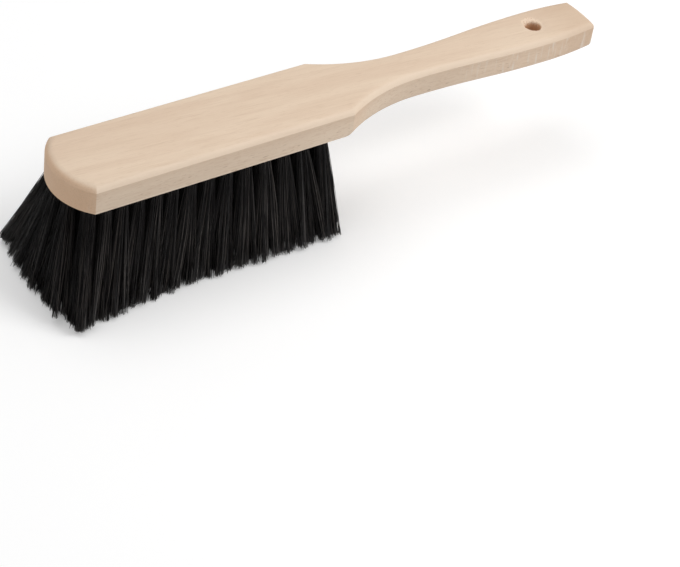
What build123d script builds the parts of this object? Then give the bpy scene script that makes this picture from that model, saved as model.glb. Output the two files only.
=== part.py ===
from build123d import *
import math
import os

# Hand broom: a flat beech back with its handle in one piece, and bristle tufts
# folded round wire staples in blind holes. Millimetres.
# While it is laid out, x runs from the nose to the handle's end, y across, and
# z = 0 is the underside of the head, with the bristles below it.

# Beech back
head_length = 136.5
head_width = 41.0
board_thickness = 13.4
nose_bow = 9.0
neck_run = 41.5
neck_width = 19.2
swell_run = 75.0
grip_width = 25.6
end_run = 28.0
end_width = 21.2
end_bow = 0.8
end_corner_radius = 1.0
top_edge_radius = 2.6
grip_edge_radius = 2.0
hang_hole_diameter = 7.4
hang_hole_from_end = 30.0
hang_hole_rim_chamfer = 1.1

# Drilling for the tufts
tufts_per_row = 14
row_count = 4
nose_margin = 5.8
heel_margin = 12.8
side_margin = 6.1
pitch_growth_share = 0.15
tuft_hole_diameter = 6.2
tuft_hole_depth = 8.5
tuft_hole_sides = 8

# Bristle tufts
tuft_clearance = 0.1
strands_per_tuft = 7
bristle_length = 50.3
nose_extra_length = 3.2
standing_cut = 0.5
strand_root_size = 0.8
strand_tip_size = 2.2
strand_root_depth = 0.3
strand_edge_margin = 0.9

# Lean of the tufts, as run over rise: a fan along the field, and a splay to its sides
nose_lean_share = 0.27
heel_lean_share = 0.13
nose_curl_share = 0.1
side_splay_share = 0.155
corner_splay_share = 0.27
nose_centre_share = 0.8
nose_fade = 21.0
tip_fill_share = 0.95

# Staples of flat wire
staple_wire = 0.6
staple_wire_width = 0.9
staple_crown_width = 5.6
staple_crown_depth = 6.9
staple_leg_bite = 3.0
staple_clearance = 0.05

# Cutters run this far past what they cut
overrun = 1.0

# Sizes worked out from those above
head_half = head_width / 2
neck_x = head_length + neck_run
grip_x = neck_x + swell_run
end_x = grip_x + end_run
bundle_radius = tuft_hole_diameter / 2 - tuft_clearance
bundle_length = tuft_hole_depth - tuft_clearance
standing_height = bristle_length - standing_cut
outer_row_y = head_half - side_margin
row_gap = 2 * outer_row_y / (row_count - 1)
nose_radius = (head_half**2 + nose_bow**2) / (2 * nose_bow)
golden_turn = math.pi * (3 - math.sqrt(5))

# Strands stand on a sunflower spiral in the bundle, and each tuft opens out
# until it fills its share of the tip plane, which is wider than the field of holes
spots = []
for number in range(strands_per_tuft):
    spread = math.sqrt((number + 0.5) / strands_per_tuft) * (bundle_radius - strand_edge_margin)
    turn = number * golden_turn
    spots.append((spread * math.cos(turn), spread * math.sin(turn)))
spot_span_x = max(dx for dx, dy in spots) - min(dx for dx, dy in spots)
spot_span_y = max(dy for dx, dy in spots) - min(dy for dx, dy in spots)
tip_growth_x = 1 + (nose_lean_share + heel_lean_share) * standing_height / head_length
tip_growth_y = 1 + side_splay_share * standing_height / outer_row_y
flare_y = (tip_fill_share * tip_growth_y * row_gap - strand_tip_size) / spot_span_y


def back_outline():
    """Plan of the back: bowed nose, straight sides, waisted neck, swelling grip."""
    with BuildSketch() as plan:
        with BuildLine():
            ThreePointArc((nose_bow, -head_half), (0, 0), (nose_bow, head_half))
            for side in (1, -1):
                shoulder = (head_length, side * head_half)
                neck = (neck_x, side * neck_width / 2)
                swell = (neck_x + swell_run / 2, side * (neck_width + grip_width) / 4)
                grip = (grip_x, side * grip_width / 2)
                end = (end_x - end_bow, side * end_width / 2)
                Line((nose_bow, side * head_half), shoulder)
                TangentArc(neck, shoulder, tangent=(-1, 0))
                TangentArc(neck, swell, tangent=(1, 0))
                TangentArc(grip, swell, tangent=(-1, 0))
                TangentArc(grip, end, tangent=(1, 0))
            ThreePointArc(
                (end_x - end_bow, -end_width / 2),
                (end_x, 0),
                (end_x - end_bow, end_width / 2),
            )
        make_face()
        fillet(plan.vertices().group_by(Axis.X)[-1], end_corner_radius)
    return plan.sketch


def tuft_places():
    """Name, place and pitch of each tuft.

    Each row starts one margin behind the bowed nose, and its pitch grows to the heel.
    """
    places = []
    step = 1 / (tufts_per_row - 1)
    for row in range(row_count):
        y = row * row_gap - outer_row_y
        first_x = nose_margin + nose_radius - math.sqrt(nose_radius**2 - y**2)
        run = head_length - heel_margin - first_x
        for number in range(tufts_per_row):
            name = f"tuft_row{row + 1}_{number + 1:02d}"
            share = number * step
            x = first_x + run * share * (1 - pitch_growth_share * (1 - share))
            pitch = run * step * (1 - pitch_growth_share * (1 - 2 * share))
            places.append((name, x, y, pitch))
    return places


def drill_section(clearance):
    """Section of a tuft hole, or of the bundle that fills it to a clearance."""
    return RegularPolygon(tuft_hole_diameter / 2 - clearance, tuft_hole_sides)


def staple_profile(grow):
    """U of one staple in the YZ plane, crown down, grown by a clearance all round."""
    half = staple_crown_width / 2 + grow
    inner = half - staple_wire - 2 * grow
    crown_low = staple_crown_depth - staple_wire - grow
    crown_high = staple_crown_depth + grow
    leg_top = tuft_hole_depth + staple_leg_bite + grow
    corners = [
        (-half, crown_low),
        (half, crown_low),
        (half, leg_top),
        (inner, leg_top),
        (inner, crown_high),
        (-inner, crown_high),
        (-inner, leg_top),
        (-half, leg_top),
    ]
    return Plane.YZ * make_face(Polyline(*corners, close=True))


def staple(grow=0):
    """One staple at the origin, its crown across the grain of the back."""
    return extrude(staple_profile(grow), staple_wire_width / 2 + grow, both=True)


def wooden_back(places):
    """Back and handle, eased on its edges, drilled for the tufts and the hook."""
    board = extrude(back_outline(), board_thickness)
    top_edges = board.edges().group_by(Axis.Z)[-1]
    board = fillet(top_edges, top_edge_radius)
    underside = board.edges().group_by(Axis.Z)[0]
    grip_edges = [edge for edge in underside if edge.center().X > head_length]
    board = fillet(grip_edges, grip_edge_radius)
    hook_x = end_x - hang_hole_from_end
    hook_radius = hang_hole_diameter / 2
    board -= Pos(hook_x, 0, board_thickness / 2) * Cylinder(hook_radius, board_thickness + overrun)
    flare = hang_hole_rim_chamfer
    rim = Cone(hook_radius, hook_radius + flare + overrun, flare + overrun)
    rim_middle = board_thickness + (overrun - flare) / 2
    board -= Pos(hook_x, 0, rim_middle) * rim
    board -= Pos(hook_x, 0, board_thickness - rim_middle) * Rot(180, 0, 0) * rim
    drill = extrude(drill_section(0), tuft_hole_depth + overrun)
    socket = Pos(0, 0, -overrun) * drill + staple(staple_clearance)
    return board - [Pos(x, y, 0) * socket for _, x, y, _ in places]


def strand_block(root, tip):
    """A four-sided lock of bristle from root to tip, flat at both ends."""
    rings = []
    for centre, size in ((root, strand_root_size), (tip, strand_tip_size)):
        half = size / 2
        around = ((-half, -half), (half, -half), (half, half), (-half, half))
        rings.append([centre + Vector(dx, dy, 0) for dx, dy in around])
    upper, lower = rings
    faces = [Face(Wire.make_polygon(ring)) for ring in rings]
    for side in range(4):
        after = (side + 1) % 4
        quad = [upper[side], upper[after], lower[after], lower[side]]
        faces.append(Face(Wire.make_polygon(quad)))
    return Solid(Shell(faces))


def folded_bundle():
    """The bristle in one hole, folded round its staple."""
    bundle = extrude(drill_section(tuft_clearance), bundle_length)
    around = 2 * (bundle_radius + overrun)
    groove_height = staple_wire + 2 * tuft_clearance
    groove = Box(staple_wire_width + 2 * tuft_clearance, around, groove_height)
    bundle -= Pos(0, 0, staple_crown_depth - staple_wire / 2) * groove
    # Above the crown the fold is only as wide as the gap between the legs
    fold_half = staple_crown_width / 2 - staple_wire - tuft_clearance
    fold_low = staple_crown_depth - staple_wire - tuft_clearance
    beside = Box(around, around / 2, bundle_length)
    for side in (1, -1):
        beside_y = side * (fold_half + around / 4)
        bundle -= Pos(0, beside_y, fold_low + bundle_length / 2) * beside
    return bundle


def tuft_lean(x, y):
    """Run over rise of a tuft, along and across: most at the corners of the nose."""
    along = x / head_length
    side = y / outer_row_y
    near_nose = math.exp(-x / nose_fade)
    held_back = (1 - nose_centre_share) * near_nose * (1 - abs(side))
    lean_x = heel_lean_share * along - nose_lean_share * (1 - along) - nose_curl_share * near_nose
    lean_y = side * (side_splay_share + corner_splay_share * near_nose)
    return lean_x * (1 - held_back), lean_y


def tuft(bundle, x, y, pitch):
    """A bundle in its place, with its strands fanned out below."""
    lean_x, lean_y = tuft_lean(x, y)
    hand = math.copysign(1, y)
    length = bristle_length + nose_extra_length * math.exp(-x / nose_fade)
    flare_x = (tip_fill_share * tip_growth_x * pitch - strand_tip_size) / spot_span_x
    strands = []
    for dx, dy in spots:
        slope_x = lean_x + dx * (flare_x - 1) / standing_height
        slope_y = lean_y + hand * dy * (flare_y - 1) / standing_height
        drop = min(length / math.hypot(1, slope_x, slope_y), standing_height)
        lean = Vector(slope_x, slope_y, -1)
        foot = Vector(dx, hand * dy, 0)
        strands.append(strand_block(foot - lean * strand_root_depth, foot + lean * drop))
    return Pos(x, y, 0) * bundle.fuse(*strands)


os.makedirs("parts", exist_ok=True)
places = tuft_places()
nodes = {"wooden_back": wooden_back(places)}
bundle = folded_bundle()
for name, x, y, pitch in places:
    nodes[name] = tuft(bundle, x, y, pitch)
nodes["tuft_staples"] = Compound([Pos(x, y, 0) * staple() for _, x, y, _ in places])

# The broom stands on its bristle tips, with the origin under its middle
reach = Compound(list(nodes.values())).bounding_box()
to_frame = Pos(-(reach.min.X + reach.max.X) / 2, 0, standing_height)
for name, node in nodes.items():
    placed = to_frame * node
    placed.label = name
    export_step(placed, f"parts/{name}.step")
print("nose at x", round(to_frame.position.X, 3))
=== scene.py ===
# Hand broom: a bare beech back with its handle, and four rows of black bristle tufts
# that wire staples hold in blind holes. Metres, in the frame of the solids, where the
# broom stands on its bristle tips at z = 0 with its nose towards -x.
import math

import bpy
import numpy as np
from mathutils import Matrix, Vector


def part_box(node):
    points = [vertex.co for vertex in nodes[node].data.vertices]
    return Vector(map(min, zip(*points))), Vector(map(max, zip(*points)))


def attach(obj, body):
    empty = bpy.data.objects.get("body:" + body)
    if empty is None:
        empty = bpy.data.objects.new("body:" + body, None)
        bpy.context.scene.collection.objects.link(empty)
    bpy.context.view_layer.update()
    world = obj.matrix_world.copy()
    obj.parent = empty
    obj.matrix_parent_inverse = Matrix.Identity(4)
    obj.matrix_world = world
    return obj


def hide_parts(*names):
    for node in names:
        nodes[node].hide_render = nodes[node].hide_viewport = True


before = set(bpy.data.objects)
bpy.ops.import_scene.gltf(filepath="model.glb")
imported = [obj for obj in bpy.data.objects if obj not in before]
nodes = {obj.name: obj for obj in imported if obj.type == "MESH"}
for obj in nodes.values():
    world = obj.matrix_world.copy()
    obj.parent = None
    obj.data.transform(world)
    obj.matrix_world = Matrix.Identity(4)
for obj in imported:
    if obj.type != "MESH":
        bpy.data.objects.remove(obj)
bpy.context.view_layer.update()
mm = 0.001


# Beech back
# The back and its handle are one piece of steamed beech, band sawn to its outline and
# run over with a rounding cutter. It is sanded and left bare, so the pores, the flecks
# of the rays and the brown end grain show.
nose_x, _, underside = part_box("wooden_back")[0]
end_x, side_y, back_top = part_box("wooden_back")[1]
board_thickness = back_top - underside
sharp_corner = math.radians(25)
worn_edge = 0.3 * mm
solid_edge_radius = 2.6 * mm
cutter_radius = 4.0 * mm
cutter_turn = math.radians(72)
crease_drop = cutter_radius * (1 - math.cos(cutter_turn))
arc_steps = 6
inset_step = 0.05 * mm
inset_steps_per_ring = 24
tolerance = 0.01 * mm
weld_distance = 0.001 * mm
merge_distance = 0.05 * mm
flat_angle = math.radians(0.5)
hang_hole_x = end_x - 30 * mm
hang_hole_radius = 3.7 * mm
hang_rim_radius = 4.8 * mm
tuft_field_start = nose_x + 3 * mm
tuft_field_end = nose_x + 136 * mm
tuft_field_side = side_y - 1.5 * mm
top_skin = 1 * mm
grain_slant = math.radians(4)

beech_pink = (0.735, 0.566, 0.425, 1)
beech_cream = (0.780, 0.618, 0.470, 1)
beech_grey_and_shade = (0.600, 0.505, 0.405, 1)
beech_latewood_and_shade = (0.560, 0.390, 0.265, 1)
beech_pale_and_highlight = (0.860, 0.720, 0.580, 1)
beech_pore = (0.330, 0.210, 0.130, 1)
beech_end = (0.690, 0.434, 0.260, 1)
drilled_and_shaded_beech = (0.620, 0.375, 0.215, 1)
burnt_and_shaded_beech = (0.400, 0.175, 0.065, 1)
beech_torn = (0.840, 0.660, 0.505, 1)
beech_dusty = (0.760, 0.720, 0.680, 1)


class Socket:
    """A shader node's output, on which shader maths is written as plain expressions."""

    def __init__(self, output):
        self.output = output

    def node(self, kind, settings, sockets, output=0):
        """Adds a node beside this one: its settings first, then its sockets' values or links."""
        tree = self.output.id_data
        added = tree.nodes.new(kind)
        for name, setting in settings.items():
            setattr(added, name, setting)
        for name, value in sockets.items():
            if isinstance(value, Socket):
                tree.links.new(value.output, added.inputs[name])
            else:
                added.inputs[name].default_value = value
        return Socket(added.outputs[output])

    def maths(self, operation, first, second=0.0):
        return self.node("ShaderNodeMath", {"operation": operation}, {0: first, 1: second})

    def __add__(self, other):
        return self.maths("ADD", self, other)

    def __radd__(self, other):
        return self.maths("ADD", other, self)

    def __sub__(self, other):
        return self.maths("SUBTRACT", self, other)

    def __rsub__(self, other):
        return self.maths("SUBTRACT", other, self)

    def __mul__(self, other):
        return self.maths("MULTIPLY", self, other)

    def __truediv__(self, other):
        return self.maths("DIVIDE", self, other)

    def __pow__(self, other):
        return self.maths("POWER", self, other)

    def __abs__(self):
        return self.maths("ABSOLUTE", self)

    def above(self, low, high):
        """0 below low and 1 above high, with a smooth step between."""
        settings = {"interpolation_type": "SMOOTHSTEP"}
        ends = {"Value": self, "From Min": low, "From Max": high}
        return self.node("ShaderNodeMapRange", settings, ends)

    def below(self, low, high):
        """1 below low and 0 above high, with a smooth step between."""
        return 1 - self.above(low, high)

    def stretched(self, x, y, z):
        """This place with its axes scaled apart."""
        settings = {"operation": "MULTIPLY"}
        return self.node("ShaderNodeVectorMath", settings, {0: self, 1: (x, y, z)})

    def noise(self, detail=2.0, roughness=0.5, distortion=0.0):
        """Soft noise about 0.5 whose blotches are one unit of this place across."""
        sockets = {"Vector": self, "Scale": 1.0, "Detail": detail}
        sockets.update({"Roughness": roughness, "Distortion": distortion})
        return self.node("ShaderNodeTexNoise", {}, sockets)

    def axis(self, name):
        return self.node("ShaderNodeSeparateXYZ", {}, {0: self}, name)

    def ramp(self, low, high):
        """Colours that run between two stops of this value. A stop is a value and a colour."""
        colours = self.node("ShaderNodeValToRGB", {}, {"Fac": self})
        stops = colours.output.node.color_ramp.elements
        for stop, (value, colour) in zip(stops, (low, high)):
            stop.position = value
            stop.color = colour
        return colours

    def tinted(self, mask, colour):
        """This colour, changed to another one as far as the mask says."""
        settings = {"data_type": "RGBA", "clamp_factor": True}
        # Sockets 0, 6 and 7 of a Mix node that mixes colours: factor, first, second
        return self.node("ShaderNodeMix", settings, {0: mask, 6: self, 7: colour}, 2)


def new_material(name, roughness, specular=0.5, metallic=0.0):
    """A material, its Principled shader, and the surface's place in mm to work from."""
    material = bpy.data.materials.new(name)
    material.use_nodes = True
    shader = material.node_tree.nodes["Principled BSDF"]
    shader.inputs["Roughness"].default_value = roughness
    shader.inputs["Specular IOR Level"].default_value = specular
    shader.inputs["Metallic"].default_value = metallic
    coordinates = material.node_tree.nodes.new("ShaderNodeTexCoord")
    place = Socket(coordinates.outputs["Object"])
    return material, shader, place.stretched(1 / mm, 1 / mm, 1 / mm)


def feed(shader, name, value):
    """Links a value to one of the shader's sockets."""
    shader.id_data.links.new(value.output, shader.inputs[name])


def beech():
    """Beech with its grain a few degrees off the x axis, greyer on its sawn sides partly as
    painted shade, with painted light and shade on its edges and in the hang hole.
    """
    material, shader, place = new_material("bare_beech", 0.62, 0.32)
    normal = place.node("ShaderNodeTexCoord", {}, {}, "Normal")
    sideways = abs(normal.axis("Y"))
    endways = abs(normal.axis("X"))
    drop = back_top / mm - place.axis("Z")
    crease = crease_drop / mm
    foot = board_thickness / mm
    slanted = {"Vector": place, "Rotation": (0, 0, grain_slant)}
    grain = place.node("ShaderNodeMapping", {}, slanted)
    cloud = grain.stretched(0.013, 0.085, 0.085).noise(2, 0.5, 0.6)
    streak = grain.stretched(0.026, 0.50, 0.50).noise(3, 0.6, 0.4)
    line = grain.stretched(0.050, 1.7, 1.7).noise(2, 0.6)
    fibre = grain.stretched(0.11, 5.5, 5.5).noise(2, 0.6)
    colour = cloud.ramp((0.38, beech_pink), (0.60, beech_cream))
    colour = colour.tinted(streak.above(0.50, 0.75) * 0.16, beech_latewood_and_shade)
    colour = colour.tinted(streak.below(0.28, 0.48) * 0.12, beech_pale_and_highlight)
    colour = colour.tinted(line.above(0.54, 0.76) * 0.22, beech_latewood_and_shade)
    colour = colour.tinted(fibre.above(0.55, 0.80) * 0.14, beech_pore)
    dash = grain.stretched(0.22, 3.0, 3.0).noise(1, 0.5)
    colour = colour.tinted(dash.above(0.60, 0.72) * 0.26, beech_latewood_and_shade)
    # The cutter leaves the rounded edge smooth, and a painted highlight makes it paler down to
    # the crease above the sawn side
    sawn = drop.above(crease - 0.05, crease + 0.10)
    side_face = sawn * sideways.above(0.35, 0.60)
    # Painted highlight: the rounded edge above the crease is paler
    colour = colour.tinted(drop.above(0.10, 0.90) * (1 - sawn) * 0.38, beech_pale_and_highlight)
    # The sawn sides are greyer, partly their own colour and partly painted shade, less so on the
    # grip
    on_grip = place.axis("X").above(50, 105)
    colour = colour.tinted(side_face * (0.34 - on_grip * 0.24), beech_grey_and_shade)
    # Painted shade: the sides are darker just under the crease and lighter further down
    shade_under_crease = drop.below(crease + 0.8, crease + 4.5) * sideways.above(0.75, 0.90)
    colour = colour.tinted(shade_under_crease * side_face * 0.26, beech_latewood_and_shade)
    # A pale line at the foot of the sides: edge wear, with a painted highlight
    worn_and_lit_foot = drop.above(foot - 0.9, foot - 0.3) * side_face
    colour = colour.tinted(worn_and_lit_foot * 0.45, beech_pale_and_highlight)
    # Flecks of the rays show as short dark specks on the sawn sides
    speck = grain.stretched(0.30, 1.9, 1.9).noise(1.0, 0.4).above(0.665, 0.74)
    low_down = 0.45 + drop.above(5.0, 11.0) * 0.55
    colour = colour.tinted(speck * side_face * low_down * 0.55, beech_pore)
    waves = grain.stretched(0.16, 1.0, 1.5).noise(2, 0.5, 1.2).above(0.52, 0.66)
    colour = colour.tinted(waves * side_face * 0.36, beech_latewood_and_shade)
    end_grain = endways.above(0.25, 0.75)
    colour = colour.tinted(end_grain * 0.66, beech_end)
    end_pore = place.stretched(1.2, 1.9, 2.4).noise(2, 0.6).above(0.52, 0.70)
    colour = colour.tinted(end_grain * end_pore * 0.55, beech_latewood_and_shade)
    towards_end = place.axis("X").above(end_x / mm - 42, end_x / mm - 4)
    colour = colour.tinted(towards_end * (0.42 + side_face * 0.18), beech_latewood_and_shade)
    # Saw and sanding marks stand across the edge of the grip
    sanding = place.stretched(0.85, 0.05, 0.09).noise(2, 0.6).above(0.52, 0.70)
    colour = colour.tinted(sanding * on_grip * side_face * 0.42, beech_dusty)
    # The drill tore the fibres at the far side of the hang hole's rim. The hole's wall is
    # browner, partly scorched and partly painted shade, and paler at the torn top of its far
    # wall, partly as painted light
    from_hole_x = place.axis("X") - hang_hole_x / mm
    from_hole = (from_hole_x * from_hole_x + place.axis("Y") * place.axis("Y")) ** 0.5
    in_hole = from_hole.below(hang_hole_radius / mm + 0.1, hang_hole_radius / mm + 0.35)
    far_side = (place.axis("Y") * 0.95 + from_hole_x * 0.3) / from_hole
    tear = place.stretched(0.5, 1.3, 1.3).noise(2, 0.7)
    rim_reach = hang_rim_radius / mm + far_side.above(-0.2, 0.9) * (tear - 0.30) * 6
    at_rim = (from_hole - rim_reach).below(-0.3, 0.3)
    colour = colour.tinted(at_rim * (0.35 + far_side.above(-0.2, 0.6) * 0.45), beech_torn)
    chips = place.stretched(1.0, 1.6, 1.6).noise(1, 0.5).above(0.60, 0.68)
    colour = colour.tinted(at_rim * chips * far_side.above(0.2, 0.8) * 0.6, burnt_and_shaded_beech)
    # Painted shade: the hole's wall darkens with depth, while its torn top at the far side keeps
    # its paler colour
    deep_wall_shade = drop.above(1.2, 4.0)
    torn_and_lit_wall = far_side.above(0.2, 0.7) * (drop + (tear - 0.5) * 5).below(1.6, 2.4)
    colour = colour.tinted(in_hole * (1 - torn_and_lit_wall) * 0.85, drilled_and_shaded_beech)
    colour = colour.tinted(in_hole * deep_wall_shade * 0.34, burnt_and_shaded_beech)
    feed(shader, "Base Color", colour)
    relief = streak * 0.5 + fibre * 0.5 - speck * 0.6 - at_rim * chips
    sockets = {"Strength": 0.35, "Distance": 0.06 * mm, "Height": relief}
    feed(shader, "Normal", relief.node("ShaderNodeBump", {}, sockets))
    feed(shader, "Roughness", 0.58 + fibre * 0.12)
    return material


def select_only(piece):
    """Makes this the only selected object, and the active one."""
    bpy.ops.object.select_all(action="DESELECT")
    bpy.context.view_layer.objects.active = piece
    piece.select_set(True)


def inset_rings(outline, insets):
    """The plan outline moved inwards by each inset, its corners along their mitres.

    The points move in small steps, away from what is nearest to them of the outline.
    """
    runs = np.roll(outline, -1, axis=0) - outline
    lengths = np.hypot(*runs.T)
    inwards = np.stack([-runs[:, 1], runs[:, 0]], 1) / lengths[:, None]
    places = outline + (inwards + np.roll(inwards, 1, axis=0)) * inset_step / 2
    rings = []
    for inset in insets:
        for _ in range(inset_steps_per_ring):
            gaps = places[:, None] - outline
            along = np.clip((gaps * runs).sum(axis=2) / lengths**2, 0, 1)
            gaps = gaps - along[:, :, None] * runs
            distances = np.linalg.norm(gaps, axis=2)
            nearest = distances.min(axis=1)
            near = distances < nearest[:, None] + inset_step / 2
            away = (gaps / distances[:, :, None] * near[:, :, None]).sum(axis=1)
            away /= near.sum(axis=1)[:, None]
            short = np.clip(inset - nearest, -inset_step, inset_step)
            places = places + away * (short / (away**2).sum(axis=1))[:, None]
        rings.append(places)
    return rings


def round_over(piece):
    """Cuts the solid's upper edge away and gives it the cutter's larger arc, and its crease."""
    mesh = piece.data
    corners = np.array([v.co for v in mesh.vertices])
    drops = back_top - corners[:, 2]
    from_hole = np.hypot(corners[:, 0] - hang_hole_x, corners[:, 1])
    in_edge = drops < solid_edge_radius + tolerance
    on_ring = abs(drops - solid_edge_radius) < tolerance
    follow = {}
    for polygon in mesh.polygons:
        around = list(polygon.vertices)
        in_rim = (from_hole[around] < hang_rim_radius + tolerance).all()
        outside = polygon.normal.z > -0.5 and not in_rim
        polygon.select = bool(in_edge[around].all() and outside)
        if on_ring[around].any() and not in_edge[around].all():
            # An upright wall: its upper edge is a piece of the outline, seen from below
            for first, second in zip(around, around[1:] + around[:1]):
                if in_edge[first] and in_edge[second]:
                    follow[second] = first
    ring = [min(follow)]
    while follow[ring[-1]] != ring[0]:
        ring.append(follow[ring[-1]])
    for index in ring:
        mesh.vertices[index].co.z = back_top - crease_drop
    turns = np.linspace(cutter_turn, 0, arc_steps + 1)
    insets = cutter_radius * (math.sin(cutter_turn) - np.sin(turns[1:]))
    plans = [corners[ring, :2]] + inset_rings(corners[ring, :2], insets)
    levels = back_top - cutter_radius * (1 - np.cos(turns))
    arc = [(x, y, level) for plan, level in zip(plans, levels) for x, y in plan]
    count = len(ring)
    walls = []
    for low in range(0, arc_steps * count, count):
        high = low + count
        for place in range(count):
            after = (place + 1) % count
            walls.append((low + place, low + after, high + after, high + place))
    bpy.ops.object.mode_set(mode="EDIT")
    bpy.ops.mesh.delete(type="FACE")
    bpy.ops.object.mode_set(mode="OBJECT")
    band = bpy.data.meshes.new("round_over")
    band.from_pydata(arc, [], walls)
    band_piece = bpy.data.objects.new("round_over", band)
    bpy.context.collection.objects.link(band_piece)
    band_piece.select_set(True)
    bpy.ops.object.join()
    bpy.ops.object.mode_set(mode="EDIT")
    bpy.ops.mesh.select_all(action="SELECT")
    bpy.ops.mesh.remove_doubles(threshold=merge_distance)
    # What stays open is the flat top, between the arc and the rim of the hang hole
    bpy.ops.mesh.select_mode(type="EDGE")
    bpy.ops.mesh.select_all(action="DESELECT")
    bpy.ops.mesh.select_non_manifold()
    bpy.ops.mesh.fill(use_beauty=False)
    bpy.ops.mesh.select_all(action="SELECT")
    bpy.ops.mesh.normals_make_consistent(inside=False)
    bpy.ops.object.mode_set(mode="OBJECT")


# The solid gives the exact outline. Its upper edge is rounded, and its corners worn
select_only(nodes["wooden_back"])
bpy.ops.object.duplicate()
back = bpy.context.object
back.name = "beech_back"
bpy.ops.object.mode_set(mode="EDIT")
bpy.ops.mesh.select_all(action="SELECT")
bpy.ops.mesh.remove_doubles(threshold=weld_distance)
bpy.ops.mesh.dissolve_limited(angle_limit=flat_angle)
bpy.ops.mesh.select_all(action="DESELECT")
bpy.ops.mesh.select_mode(type="FACE")
bpy.ops.object.mode_set(mode="OBJECT")
round_over(back)
bpy.ops.object.mode_set(mode="EDIT")
bpy.ops.mesh.select_mode(type="EDGE")
bpy.ops.mesh.select_all(action="DESELECT")
bpy.ops.mesh.edges_select_sharp(sharpness=sharp_corner)
bpy.ops.object.mode_set(mode="OBJECT")
# The edges in and round the tuft holes stay as drilled
for edge in back.data.edges:
    middle = sum((back.data.vertices[v].co for v in edge.vertices), Vector()) / 2
    in_field = tuft_field_start < middle.x < tuft_field_end and abs(middle.y) < tuft_field_side
    if in_field and middle.z < back_top - top_skin:
        edge.select = False
bpy.ops.object.mode_set(mode="EDIT")
bpy.ops.mesh.bevel(offset=worn_edge, segments=2, clamp_overlap=True)
bpy.ops.object.mode_set(mode="OBJECT")
bpy.ops.object.shade_smooth_by_angle(angle=sharp_corner)
for edge in back.data.edges:
    ends = [back_top - back.data.vertices[v].co.z for v in edge.vertices]
    if all(abs(end - crease_drop) < tolerance for end in ends):
        edge.use_edge_sharp = True
back.data.materials.clear()
back.data.materials.append(beech())
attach(back, "root")
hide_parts("wooden_back")


# Staples
# Each tuft is held by a staple of flat bright wire, driven across the grain. The
# staples stay inside the wood, so the solids are shown as they are, in drawn steel.
steel_bright = (0.62, 0.62, 0.61, 1)
steel_scored = (0.42, 0.42, 0.42, 1)


def drawn_steel():
    """Bright wire with fine lines from the drawing die."""
    material, shader, place = new_material("drawn_steel", 0.3, 0.5, 1.0)
    lines = place.stretched(9, 0.6, 0.6).noise(2, 0.6)
    feed(shader, "Base Color", lines.ramp((0.35, steel_bright), (0.7, steel_scored)))
    feed(shader, "Roughness", 0.24 + lines * 0.2)
    return material


staples = nodes["tuft_staples"]
staples.data.materials.clear()
staples.data.materials.append(drawn_steel())


# Bristle tufts
# A tuft is a bunch of black bristle folded in two over its staple, so each hair shows
# two ends. The bunch leaves its hole tight and round, then opens and leans as far as
# the solid does, and its hairs cling together in locks towards ragged, greyed tips.
random_seed = 7
random = np.random.default_rng(random_seed)
hairs_per_tuft = 300
hair_sides = 3
hair_root_radius = 0.132 * mm
hair_tip_radius = 0.108 * mm
packed_radius = 2.68 * mm
fold_depth = 7.3 * mm
fold_stack = 1.0 * mm
fold_shoulder_share = 0.75
fold_narrowing = 0.9
rear_shift = 3
leg_gap_half = 2.0 * mm
locks_per_tuft = 17
lock_turn_step = 2.4
full_turn = 6.28
lock_share = 0.45
lock_lean = 1.25 * mm
lock_short = 1.1 * mm
hair_short = 0.22 * mm
tip_scatter = 0.80 * mm
stray_share = 0.003
stray_scatter = 2.2 * mm
wave = 0.42 * mm
tip_clear = 0.1 * mm
edge_tuck = 3.0 * mm
nose_sweep = 4.0 * mm
nose_sweep_middle = nose_x + 62 * mm
nose_sweep_reach = 34 * mm
nose_push = 4.8 * mm
nose_push_reach = 16 * mm
free_shares = (0.0, 0.25, 0.5, 0.75, 1.0)
in_wood = 1 * mm
near_tips = 5 * mm

bristle_black = (0.0042, 0.0030, 0.0032, 1)
bristle_brown = (0.115, 0.098, 0.088, 1)
bristle_tip = (0.060, 0.050, 0.044, 1)


def bristle():
    """Black bristle: each hair has its own depth of dye, the hairs are painted darker near the
    roots as shade under the back, and the cut tips are greyed.
    """
    material, shader, place = new_material("black_bristle", 0.38, 0.25)
    tone = place.node("ShaderNodeAttribute", {"attribute_name": "tone"}, {}, "Fac")
    along = place.node("ShaderNodeAttribute", {"attribute_name": "along"}, {}, "Fac")
    mottle = place.stretched(1.1, 1.1, 0.35).noise(2)
    # Each hair's dye, with painted shade that darkens the hairs near the roots under the back
    dye_and_root_shade = tone * 0.85 + mottle * 0.15 - along.below(0.1, 0.6) * 0.14
    colour = dye_and_root_shade.ramp((0.66, bristle_black), (1.0, bristle_brown))
    greyed = along.above(0.945, 1.0) * tone.above(0.1, 0.8)
    colour = colour.tinted(greyed * 0.8, bristle_tip)
    feed(shader, "Base Color", colour)
    feed(shader, "Roughness", 0.24 + tone * 0.14)
    feed(shader, "Coat Weight", tone.above(0.55, 1.0) * along.above(0.1, 0.6) * 0.7)
    return material


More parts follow.
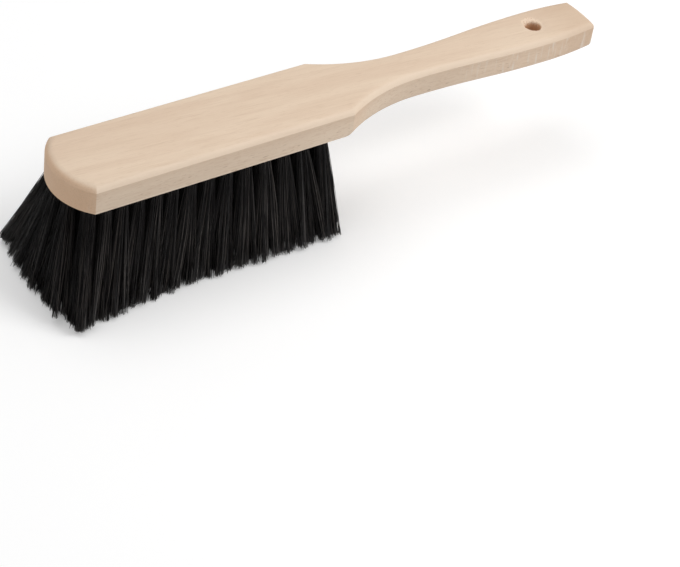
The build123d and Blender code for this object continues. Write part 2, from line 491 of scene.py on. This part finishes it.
def solid_tuft(name):
    """Mouth of the hole, middle of the tips and reach of the tips of a tuft's solid."""
    corners = np.array([v.co for v in nodes[name].data.vertices])
    in_hole = corners[corners[:, 2] > underside + in_wood]
    tips = corners[corners[:, 2] < underside - near_tips]
    hole = (in_hole.min(0) + in_hole.max(0)) / 2
    hole[2] = underside
    tip_middle = (tips.min(0) + tips.max(0)) / 2
    tip_middle[2] = tips[:, 2].min()
    # Use has swept the middle tufts a little further forward, and pushed the first ones back
    from_sweep = (hole[0] - nose_sweep_middle) / nose_sweep_reach
    tip_middle[0] -= nose_sweep * math.exp(-(from_sweep**2))
    tip_middle[0] += nose_push * math.exp(-(hole[0] - nose_x) / nose_push_reach)
    return hole, tip_middle, (tips.max(0) - tips.min(0))[:2] / 2 - edge_tuck


def tip_room(row, number):
    """How far a tuft opens to its -x, +x, -y and +y sides.

    That is half way to its neighbour there, or as far as its own solid if it has none.
    """
    _, tip_middle, own_reach = solid_tufts[row, number]
    room = []
    # Along x the neighbours are in the same row, and along y in the rows beside it
    for axis, row_step, number_step in ((0, 0, -1), (0, 0, 1), (1, -1, 0), (1, 1, 0)):
        beside = solid_tufts.get((row + row_step, number + number_step))
        if beside is None:
            room.append(own_reach[axis])
        else:
            room.append(abs(beside[1][axis] - tip_middle[axis]) / 2)
    return np.array(room).reshape(2, 2)


def hair_ends(root_x, root_y, hole, tip_middle, room, locks):
    """Free part of one half of each hair, from the hole's mouth down to its tip."""
    count = len(root_x)
    roots = np.stack([root_x, root_y], 1)
    nearest = np.argmin(np.linalg.norm(roots[:, None] - locks[None], axis=2), axis=1)
    gathered = (roots + lock_share * (locks[nearest] - roots)) / packed_radius
    # The round bunch opens out until it fills its square share of the field
    gathered *= (np.hypot(*gathered.T) / np.abs(gathered).max(axis=1))[:, None]
    lean = tip_middle[:2] - hole[:2]
    reach = lean + gathered * np.where(gathered < 0, room[:, 0], room[:, 1])
    reach += random.normal(0, lock_lean, (len(locks), 2))[nearest]
    reach += random.normal(0, tip_scatter, (count, 2))
    stray = random.random(count) < stray_share
    reach[stray] += random.normal(0, stray_scatter, (stray.sum(), 2))
    full = hole[2] - tip_middle[2]
    lengths = math.hypot(full, *lean) + lock_short / 2
    lengths -= random.uniform(0, lock_short, len(locks))[nearest]
    lengths -= random.exponential(hair_short, count)
    drop = lengths * full / np.hypot(full, np.hypot(*reach.T))
    drop = np.minimum(drop, hole[2] - tip_clear)
    sway = random.normal(0, wave, (count, 2))
    points = []
    for share in free_shares:
        side = roots * (1 - share) + reach * share + sway * math.sin(math.pi * share)
        points.append(np.column_stack([hole[:2] + side, hole[2] - drop * share]))
    return np.stack(points, 1)


def hairs(name, paths, radii):
    """A closed tube along each path, all in one mesh. Thousands of hairs need mesh code."""
    along = np.gradient(paths, axis=1)
    along /= np.linalg.norm(along, axis=2, keepdims=True)
    # The tufts fold and lean mostly along x, so the y axis is never along a hair
    across = np.array((0, 1, 0)) - along * along[:, :, 1:2]
    across /= np.linalg.norm(across, axis=2, keepdims=True)
    other = np.cross(along, across)
    turns = np.arange(hair_sides) * 2 * math.pi / hair_sides
    cosines = np.cos(turns)[:, None]
    sines = np.sin(turns)[:, None]
    spokes = across[:, :, None] * cosines + other[:, :, None] * sines
    corners = paths[:, :, None] + spokes * radii[None, :, None, None]
    count, rings = corners.shape[:2]
    order = np.arange(count * rings * hair_sides).reshape(count, rings, hair_sides)
    after = np.roll(order, -1, axis=2)
    walls = np.stack([order[:, :-1], after[:, :-1], after[:, 1:], order[:, 1:]], -1)
    faces = walls.reshape(-1, 4).tolist()
    faces += order[:, 0, ::-1].tolist()
    faces += order[:, -1].tolist()
    mesh = bpy.data.meshes.new(name)
    mesh.from_pydata(corners.reshape(-1, 3).tolist(), [], faces)
    piece = bpy.data.objects.new(name, mesh)
    bpy.context.collection.objects.link(piece)
    select_only(piece)
    bpy.ops.object.shade_smooth()
    return piece


def tuft(name, row, number):
    """One tuft of folded hairs that follows the lean and the spread of its solid."""
    hole, tip_middle, _ = solid_tufts[row, number]
    room = tip_room(row, number)
    radius = np.sqrt(random.random(hairs_per_tuft)) * packed_radius
    turn = random.uniform(-math.pi / 2, math.pi / 2, hairs_per_tuft)
    root_x = radius * np.cos(turn)
    root_y = radius * np.sin(turn)
    lock_turn = np.arange(locks_per_tuft) * lock_turn_step + random.uniform(0, full_turn)
    lock_radius = packed_radius * np.sqrt((np.arange(locks_per_tuft) + 0.5) / locks_per_tuft)
    locks = np.stack([lock_radius * np.cos(lock_turn), lock_radius * np.sin(lock_turn)], 1)
    front = hair_ends(root_x, root_y, hole, tip_middle, room, locks)
    # The other half comes out across the staple, as far over as some other hair's
    back_x = -np.roll(root_x, rear_shift)
    rear = hair_ends(back_x, root_y, hole, tip_middle, room, locks)
    # The fold: up the hole, over the staple's crown between its legs, and down again
    over = np.zeros((hairs_per_tuft, 3, 3))
    pinch = root_y * leg_gap_half / packed_radius
    for point, x in enumerate((root_x * fold_narrowing, root_x * 0, back_x * fold_narrowing)):
        over[:, point, 0] = hole[0] + x
        over[:, point, 1] = hole[1] + pinch
        over[:, point, 2] = hole[2] + fold_depth * fold_shoulder_share
    over[:, 1, 2] = hole[2] + fold_depth + random.uniform(0, fold_stack, hairs_per_tuft)
    paths = np.concatenate([front[:, ::-1], over, rear], 1)
    along = np.concatenate([free_shares[::-1], np.zeros(3), free_shares])
    radii = hair_root_radius + (hair_tip_radius - hair_root_radius) * along**2
    piece = hairs("bristle_" + name, paths, radii)
    rings = len(along) * hair_sides
    tone = piece.data.attributes.new("tone", "FLOAT", "POINT")
    tone.data.foreach_set("value", np.repeat(random.random(hairs_per_tuft), rings))
    share = piece.data.attributes.new("along", "FLOAT", "POINT")
    share.data.foreach_set("value", np.tile(np.repeat(along, hair_sides), hairs_per_tuft))
    return piece


bristle_material = bristle()
places = {}
for name in sorted(nodes):
    if name.startswith("tuft_row"):
        row, number = name.removeprefix("tuft_row").split("_")
        places[name] = int(row), int(number)
solid_tufts = {place: solid_tuft(name) for name, place in places.items()}
for name, (row, number) in places.items():
    piece = tuft(name, row, number)
    piece.data.materials.append(bristle_material)
    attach(piece, "root")
    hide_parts(name)


# Floor and light
# The broom stands on a white studio floor under soft light from above and from the
# right, with the photograph's camera: a long lens, tilted a little to one side.
view_yaw = math.radians(39.68)
view_elevation = math.radians(39.67)
view_roll = math.radians(8.59)
lens = 115.2
camera_place = Vector((-486.9, -617.2, 605.5)) * mm
sensor_width = 36
nearest_seen = 0.01
white = (1, 1, 1, 1)
floor_white = (0.90, 0.90, 0.90, 1)
floor_size = 6
floor_glow = 0.16
world_strength = 0.42

bpy.ops.object.select_all(action="DESELECT")
bpy.ops.mesh.primitive_plane_add(size=floor_size, location=(0, 0, 0))
floor = bpy.context.object
floor.name = "studio_floor"
floor_material, floor_shader, floor_place = new_material("studio_floor", 0.9, 0.1)
floor_shader.inputs["Base Color"].default_value = floor_white
floor_shader.inputs["Emission Color"].default_value = white
# What glows is seen, but throws no light on the broom
camera_ray = floor_place.node("ShaderNodeLightPath", {}, {}, "Is Camera Ray")
feed(floor_shader, "Emission Strength", camera_ray * floor_glow)
floor.data.materials.append(floor_material)

world = bpy.data.worlds.new("studio")
bpy.context.scene.world = world
world.use_nodes = True
background = world.node_tree.nodes["Background"]
background.inputs["Color"].default_value = white
background.inputs["Strength"].default_value = world_strength


def soft_box(name, place, size, power):
    """A square lamp that faces the middle of the broom."""
    aim = Vector((0, 0, underside)) - Vector(place)
    bpy.ops.object.light_add(type="AREA", location=place)
    lamp = bpy.context.object
    lamp.name = name
    lamp.rotation_euler = aim.to_track_quat("-Z", "Y").to_euler()
    lamp.data.size = size
    lamp.data.energy = power


soft_box("key_light", (0.85, -0.75, 1.1), size=0.8, power=11)
soft_box("top_light", (-0.1, 0.4, 1.5), size=1.2, power=8)

turn = Matrix.Rotation(-view_yaw, 3, "Z")
turn = turn @ Matrix.Rotation(math.pi / 2 - view_elevation, 3, "X")
turn = turn @ Matrix.Rotation(view_roll, 3, "Z")
bpy.ops.object.camera_add(location=camera_place, rotation=turn.to_euler())
camera = bpy.context.object
camera.data.lens = lens
camera.data.sensor_width = sensor_width
camera.data.clip_start = nearest_seen
bpy.context.scene.camera = camera
bpy.context.scene.view_settings.view_transform = "Standard"
